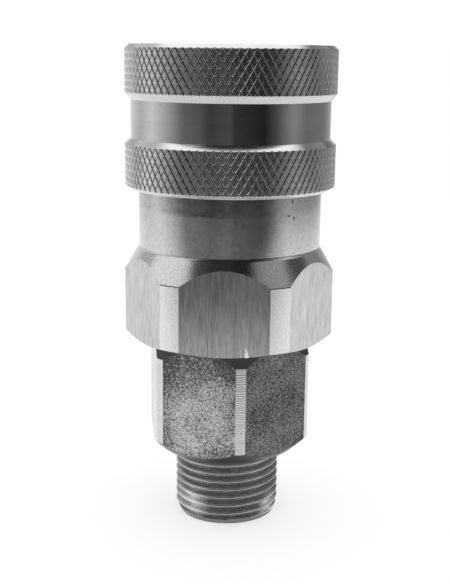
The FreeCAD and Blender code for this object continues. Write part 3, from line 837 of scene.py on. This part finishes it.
# Thread: height of the face over it, length that is cut, steps of the mesh to a turn, undercut as radius and
# height, depth, pitch, start of its turns, and radius and slope of its chamfered end
THREAD_TOP = 11.8
THREAD_LENGTH = 11.2
THREAD_STEPS = 16
THREAD_UNDERCUT = ((7.475, 11.45), (7.475, THREAD_TOP))
THREAD_DEPTH = 0.856
THREAD_PITCH = 1.337
THREAD_PHASE = 0.2855
THREAD_END = (7.631, 0.7 / 1.5)
# Shares of half a turn: level at the root and again at the crest, and the flank between them
THREAD_LEVEL = 0.05
THREAD_FLANK = 0.9
# Turned lines on the hexagon's corners: how many, how deep, and where in its pitch each one starts, is
# deepest and ends
FEED_LINES = 37
FEED_DEPTH = 0.02
FEED_SHAPE = ((0.5, 0.0), (0.74, FEED_DEPTH), (0.98, 0.0))
# Spigot and bores of the adapter, as radii
SPIGOT = 10.9
SPIGOT_GROOVE = 9.425
GUIDE_SEAT = 8.0
FLOW_BORE = 4.8
SPIGOT_TOP = 39.3
# Outline of the spigot and of the bore inside it, as radius and height
ADAPTER_INSIDE = (
    (SPIGOT, BODY_BOTTOM),
    (SPIGOT, 35.95),
    (SPIGOT_GROOVE, 35.95),
    (SPIGOT_GROOVE, 37.65),
    (SPIGOT, 37.65),
    (SPIGOT, SPIGOT_TOP),
    (8.8, SPIGOT_TOP),
    (GUIDE_SEAT, 38.5),
    (GUIDE_SEAT, 33.8),
    (FLOW_BORE, 30.6),
)


def thread_radius(angle, height):
    """Radius of the right-hand thread, with its end chamfered."""
    turn = (height / THREAD_PITCH - angle / (2 * math.pi) + THREAD_PHASE) % 1.0
    side = abs(turn - 0.5) * 2
    share = min(1.0, max(0.0, (side - THREAD_LEVEL) / THREAD_FLANK))
    rounded = share * share * (3 - 2 * share)
    radius = THREAD_RADIUS - THREAD_DEPTH * (1 - rounded)
    end_radius, end_slope = THREAD_END
    return min(radius, end_radius + end_slope * height)


def make_adapter():
    """The adapter's skin with a helical thread and feed lines on the hexagon's turned corners."""
    angles = hexagon_angles(
        ADAPTER_FLATS, ADAPTER_CORNER, ADAPTER_CORNER_ANGLE, ADAPTER_ON_FLAT, ADAPTER_ON_CORNER
    )
    flats = [flat_radius(angle, ADAPTER_FLATS, ADAPTER_CORNER_ANGLE) for angle in angles]
    skin = Skin()

    def on_side(here):
        side, place = divmod(here, ADAPTER_ON_FLAT + ADAPTER_ON_CORNER)
        if place < ADAPTER_ON_CORNER:
            return ADAPTER_STRIP
        return LIT_AND_SHADED_SIDES.get(side, ADAPTER_FLAT)

    def ring_at(height_at, radius_limit):
        made = []
        for angle, flat in zip(angles, flats):
            radius = min(radius_limit, flat)
            made.append((radius * math.cos(angle), radius * math.sin(angle), height_at(radius)))
        return skin.ring(made)

    first = skin.ring(circle(angles, FLOW_BORE, 0.0))
    last = first
    level_count = round(THREAD_LENGTH / THREAD_PITCH * THREAD_STEPS)
    for step in range(level_count + 1):
        height = THREAD_LENGTH * step / level_count
        radii = [thread_radius(angle, height) for angle in angles]
        here = skin.ring([(r * math.cos(a), r * math.sin(a), height) for a, r in zip(angles, radii)])
        skin.join(last, here, ADAPTER_THREAD)
        last = here
    bottom_radius, top_radius = ADAPTER_FACES
    for radius, height in (*THREAD_UNDERCUT, (bottom_radius, THREAD_TOP)):
        here = skin.ring(circle(angles, radius, height))
        skin.join(last, here, ADAPTER_TURNED)
        last = here
    slope = ADAPTER_CHAMFER / (ADAPTER_CORNER - bottom_radius)
    here = ring_at(lambda r: THREAD_TOP + (r - bottom_radius) * slope, ADAPTER_CORNER)
    skin.join(last, here, ADAPTER_BEVEL)
    last = here
    strip_bottom = THREAD_TOP + ADAPTER_CHAMFER
    pitch = (BODY_BOTTOM - ADAPTER_CHAMFER - strip_bottom) / FEED_LINES
    for line in range(FEED_LINES):
        foot = strip_bottom + line * pitch
        for share, sunk in FEED_SHAPE:
            height = foot + share * pitch
            here = ring_at(lambda r: height, ADAPTER_CORNER - sunk)
            skin.join(last, here, on_side)
            last = here
    slope = ADAPTER_CHAMFER / (ADAPTER_CORNER - top_radius)
    here = ring_at(lambda r: BODY_BOTTOM - (r - top_radius) * slope, ADAPTER_CORNER)
    skin.join(last, here, on_side)
    last = here
    here = skin.ring(circle(angles, top_radius, BODY_BOTTOM))
    skin.join(last, here, ADAPTER_BEVEL)
    last = here
    for radius, height in ADAPTER_INSIDE:
        here = skin.ring(circle(angles, radius, height))
        skin.join(last, here, ADAPTER_TURNED)
        last = here
    skin.join(last, first, ADAPTER_TURNED)
    materials = [
        adapter_turned,
        adapter_flats,
        adapter_strips,
        adapter_thread,
        adapter_chamfer,
        adapter_painted_shade_flat,
        adapter_painted_light_flat,
    ]
    return skin.finish("threaded_adapter", materials, SHARP_ROUND)


# Points round a spring's wire, and steps of it to a turn
WIRE_SIDES = 14
COIL_STEPS = 48


def make_coil(name, node, radius, wire, turns, material):
    """Helical spring of round wire, as tall as the node that it stands for."""
    low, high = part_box(node)
    start = low.z / MM + wire / 2
    rise = (high.z - low.z) / MM - wire
    along = round(turns * COIL_STEPS)
    slope = math.atan2(rise / turns, 2 * math.pi * radius)
    flat, climb = math.cos(slope), math.sin(slope)
    skin = Skin()
    rings = []
    for step in range(along + 1):
        share = step / along
        angle = 2 * math.pi * turns * share
        out = Vector((math.cos(angle), math.sin(angle), 0))
        ahead = Vector((-math.sin(angle) * flat, math.cos(angle) * flat, climb))
        up = ahead.cross(out)
        middle = out * radius + Vector((0, 0, start + rise * share))
        ring = []
        for spot in range(WIRE_SIDES):
            turn = 2 * math.pi * spot / WIRE_SIDES
            ring.append(tuple(middle + (out * math.cos(turn) + up * math.sin(turn)) * wire / 2))
        rings.append(skin.ring(ring))
    for before, after in zip(rings, rings[1:]):
        skin.join(before, after, 0)
    skin.face(tuple(reversed(rings[0])), 0)
    skin.face(tuple(rings[-1]), 0)
    return skin.finish(name, [material], SHARP_ROUND)


def dress(node, material):
    """Give a node of the solid model its finish."""
    materials = nodes[node].data.materials
    materials.clear()
    materials.append(material)


body_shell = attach(make_body(), "coupling")
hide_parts("coupling_body")

knurled_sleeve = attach(make_sleeve(), "sleeve")
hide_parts("release_sleeve")

threaded_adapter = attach(make_adapter(), "coupling")
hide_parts("adapter")

spring_steel = plain_steel_look("spring_steel_look", 0.85, 0.25)
sleeve_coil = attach(make_coil("sleeve_coil", "sleeve_spring", 12.97, 1.4, 4.5, spring_steel), "spring")
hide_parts("sleeve_spring")
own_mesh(sleeve_coil)

valve_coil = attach(make_coil("valve_coil", "valve_spring", 4.5, 0.9, 4.5, spring_steel), "coupling")
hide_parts("valve_spring")
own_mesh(valve_coil)

valve_steel = plain_steel_look("valve_steel_look", 0.95, 0.28)
ball_steel = plain_steel_look("ball_steel_look", 1.05, 0.12)
seal_rubber = soft_look("seal_rubber_look", (0.02, 0.02, 0.021), 0.45)
backup_plastic = soft_look("backup_plastic_look", (0.75, 0.74, 0.7), 0.4)
for node in ("valve_poppet", "valve_guide"):
    dress(node, valve_steel)
dress("sleeve_stop_ring", spring_steel)
for number in range(1, 9):
    dress(f"locking_ball_{number}", ball_steel)
for node in ("adapter_seal", "poppet_seal", "plug_seal"):
    dress(node, seal_rubber)
dress("plug_backup_ring", backup_plastic)


# Studio: pale floor that fades out, white surroundings, and cards that only the metal shows; lengths here
# are in metres
FLOOR_RADIUS = 0.8
FLOOR_GREY = 0.5
FLOOR_GLOW = 0.56
# Distances from the middle between which the floor fades out on all sides
FLOOR_EDGE = (0.18, 0.46)
# Way from the part to the camera, and how much of the floor is left along it, by distance
TO_CAMERA = Vector((-0.1, -0.995, 0))
FLOOR_REACH = 0.5
FLOOR_FADE = (
    (0.03, 1.0),
    (0.06, 0.85),
    (0.085, 0.7),
    (0.125, 0.5),
    (0.165, 0.15),
    (0.19, 0.05),
    (0.215, 0.1),
    (0.29, 0.2),
    (0.4, 0.08),
)


def add_ramp(tree, source, stops):
    """Greys along a number from 0 to 1, as stops of (place, light)."""
    ramp = add_node(tree, "ShaderNodeValToRGB")
    elements = ramp.color_ramp.elements
    while len(elements) < len(stops):
        elements.new(0.5)
    for element, (position, light) in zip(elements, stops):
        element.position = position
        element.color = (light, light, light, 1)
    tree.links.new(source, ramp.inputs["Fac"])
    return ramp.outputs["Color"]


def add_fade(tree, source, start, end, at_start, at_end):
    """Soft change from one number to another while the source goes from start to end."""
    fade = add_node(tree, "ShaderNodeMapRange", interpolation_type="SMOOTHSTEP")
    fade.inputs["From Min"].default_value = start
    fade.inputs["From Max"].default_value = end
    fade.inputs["To Min"].default_value = at_start
    fade.inputs["To Max"].default_value = at_end
    tree.links.new(source, fade.inputs["Value"])
    return fade.outputs["Result"]


def add_product(tree, first, second):
    product = add_node(tree, "ShaderNodeMath", operation="MULTIPLY")
    tree.links.new(first, product.inputs[0])
    tree.links.new(second, product.inputs[1])
    return product.outputs[0]


def add_reach(tree, place, direction):
    """How far a place lies along a direction."""
    reach = add_node(tree, "ShaderNodeVectorMath", operation="DOT_PRODUCT")
    reach.inputs[1].default_value = direction
    tree.links.new(place, reach.inputs[0])
    return reach.outputs["Value"]


def make_floor():
    bpy.ops.mesh.primitive_circle_add(vertices=96, radius=FLOOR_RADIUS, fill_type="NGON", location=(0, 0, 0))
    floor = bpy.context.object
    floor.name = "floor"
    material = bpy.data.materials.new("floor_paper")
    material.use_nodes = True
    tree = material.node_tree
    shader = tree.nodes["Principled BSDF"]
    shader.inputs["Base Color"].default_value = (FLOOR_GREY, FLOOR_GREY, FLOOR_GREY, 1)
    shader.inputs["Emission Color"].default_value = (1, 1, 1, 1)
    shader.inputs["Emission Strength"].default_value = FLOOR_GLOW
    shader.inputs["Roughness"].default_value = 0.9
    shader.inputs["Specular IOR Level"].default_value = 0.1
    place = add_node(tree, "ShaderNodeTexCoord").outputs["Object"]
    away = add_node(tree, "ShaderNodeVectorMath", operation="LENGTH")
    tree.links.new(place, away.inputs[0])
    all_round = add_fade(tree, away.outputs["Value"], *FLOOR_EDGE, 1.0, 0.0)
    ahead = add_reach(tree, place, TO_CAMERA / FLOOR_REACH)
    in_front = add_ramp(tree, ahead, [(distance / FLOOR_REACH, cover) for distance, cover in FLOOR_FADE])
    tree.links.new(add_product(tree, all_round, in_front), shader.inputs["Alpha"])
    floor.data.materials.append(material)


# Shell that carries the cards
SHELL_RADIUS = 1.5
SHELL_HEIGHT = 0.04
# Lower ring of cards, as angle from the front and light: pale on the left and behind, dark in front
LOWER_RING = (
    (-180, 0.95),
    (-150, 0.8),
    (-122, 0.64),
    (-100, 0.9),
    (-72, 0.46),
    (-55, 0.19),
    (-34, 0.13),
    (-24, 0.07),
    (0, 0.1),
    (4, 0.05),
    (38, 0.02),
    (52, 0.09),
    (75, 0.33),
    (94, 0.2),
    (130, 0.24),
    (163, 0.52),
    (180, 0.95),
)
# Upper ring of cards, in the same way: pale on both sides, dark in front
UPPER_RING = (
    (-180, 0.6),
    (-122, 0.5),
    (-95, 0.45),
    (-72, 0.7),
    (-54, 0.95),
    (-40, 0.25),
    (-26, 0.06),
    (43, 0.04),
    (58, 0.2),
    (76, 0.95),
    (90, 0.9),
    (102, 0.35),
    (130, 0.25),
    (146, 0.12),
    (180, 0.6),
)
# Lower and upper edge of the upper ring: where each starts and ends, and its cover at the start and the end
UPPER_EDGES = ((0.12, 0.22, 0.0, 1.0), (0.36, 0.46, 1.0, 0.0))
# Single cards: direction, where the edge starts and ends, how much they cover, how light they are
CARDS = (
    ((0, -0.75, 0.66), 0.72, 0.82, 0.65, 0.0),
    ((0.64, -0.4, 0.656), 0.93, 0.985, 0.7, 0.42),
    ((0.868, 0.107, 0.485), 0.945, 0.985, 0.7, 0.0),
    ((-0.816, -0.071, 0.574), 0.88, 0.95, 0.8, 1.0),
    ((0, 0.35, 0.937), 0.8, 0.87, 1.0, 1.5),
)


def add_turn(tree, place):
    """Turn from the front round the axis, as a number from 0 to 1; the front is at 0.5."""
    split = add_node(tree, "ShaderNodeSeparateXYZ")
    tree.links.new(place, split.inputs[0])
    front = add_node(tree, "ShaderNodeMath", operation="MULTIPLY")
    front.inputs[1].default_value = -1.0
    tree.links.new(split.outputs["Y"], front.inputs[0])
    angle = add_node(tree, "ShaderNodeMath", operation="ARCTAN2")
    tree.links.new(split.outputs["X"], angle.inputs[0])
    tree.links.new(front.outputs[0], angle.inputs[1])
    turn = add_node(tree, "ShaderNodeMapRange")
    turn.inputs["From Min"].default_value = -math.pi
    turn.inputs["From Max"].default_value = math.pi
    tree.links.new(angle.outputs[0], turn.inputs["Value"])
    return turn.outputs["Result"]


def add_ring(tree, turn, lights):
    """Greys by angle from the front, in degrees."""
    return add_ramp(tree, turn, [((angle + 180) / 360, light) for angle, light in lights])


def add_blend(tree, factor, under):
    """Mix of two colours, with the first one linked."""
    blend = add_node(tree, "ShaderNodeMix", data_type="RGBA")
    tree.links.new(factor, blend.inputs["Factor"])
    tree.links.new(under, blend.inputs["A"])
    return blend


def make_cards():
    """Shell round the studio with two rings of cards and single cards over them."""
    bpy.ops.mesh.primitive_uv_sphere_add(
        segments=64, ring_count=32, radius=SHELL_RADIUS, location=(0, 0, SHELL_HEIGHT)
    )
    cards = bpy.context.object
    cards.name = "studio_cards"
    cards.visible_camera = False
    cards.visible_diffuse = False
    cards.visible_shadow = False
    material = bpy.data.materials.new("studio_cards")
    material.use_nodes = True
    tree = material.node_tree
    tree.nodes.clear()
    place = add_node(tree, "ShaderNodeTexCoord").outputs["Object"]
    unit = add_node(tree, "ShaderNodeVectorMath", operation="NORMALIZE")
    tree.links.new(place, unit.inputs[0])
    way = unit.outputs["Vector"]
    split = add_node(tree, "ShaderNodeSeparateXYZ")
    tree.links.new(way, split.inputs[0])
    edges = [add_fade(tree, split.outputs["Z"], *edge) for edge in UPPER_EDGES]
    turn = add_turn(tree, place)
    rings = add_blend(tree, add_product(tree, *edges), add_ring(tree, turn, LOWER_RING))
    tree.links.new(add_ring(tree, turn, UPPER_RING), rings.inputs["B"])
    light = rings.outputs["Result"]
    for towards, edge, solid, cover, level in CARDS:
        near = add_fade(tree, add_reach(tree, way, towards), edge, solid, 0.0, cover)
        card = add_blend(tree, near, light)
        card.inputs["B"].default_value = (level, level, level, 1)
        light = card.outputs["Result"]
    glow = add_node(tree, "ShaderNodeEmission")
    out = add_node(tree, "ShaderNodeOutputMaterial")
    tree.links.new(light, glow.inputs["Color"])
    tree.links.new(glow.outputs["Emission"], out.inputs["Surface"])
    cards.data.materials.append(material)


def make_world():
    world = bpy.data.worlds.new("studio")
    world.use_nodes = True
    background = world.node_tree.nodes["Background"]
    background.inputs["Color"].default_value = (1, 1, 1, 1)
    background.inputs["Strength"].default_value = 1.0
    bpy.context.scene.world = world


# Camera fitted to the photo: lens and sensor, place in millimetres of the part, and turns in degrees
CAMERA_LENS = 65.0
CAMERA_SENSOR = 36.0
CAMERA_PLACE = (-0.44, -164.35, 73.36)
CAMERA_DOWN = 12.69
CAMERA_ROLL = 0.63


def make_camera():
    camera = bpy.data.cameras.new("camera")
    camera.lens = CAMERA_LENS
    camera.sensor_width = CAMERA_SENSOR
    camera.clip_start = 0.01
    camera.clip_end = 10.0
    holder = bpy.data.objects.new("camera", camera)
    bpy.context.scene.collection.objects.link(holder)
    tilt = Matrix.Rotation(math.radians(90 - CAMERA_DOWN), 4, "X")
    roll = Matrix.Rotation(math.radians(CAMERA_ROLL), 4, "Z")
    holder.matrix_world = Matrix.Translation(Vector(CAMERA_PLACE) * MM) @ tilt @ roll
    bpy.context.scene.camera = holder


make_floor()
make_cards()
make_world()
make_camera()
bpy.context.scene.view_settings.view_transform = "Standard"
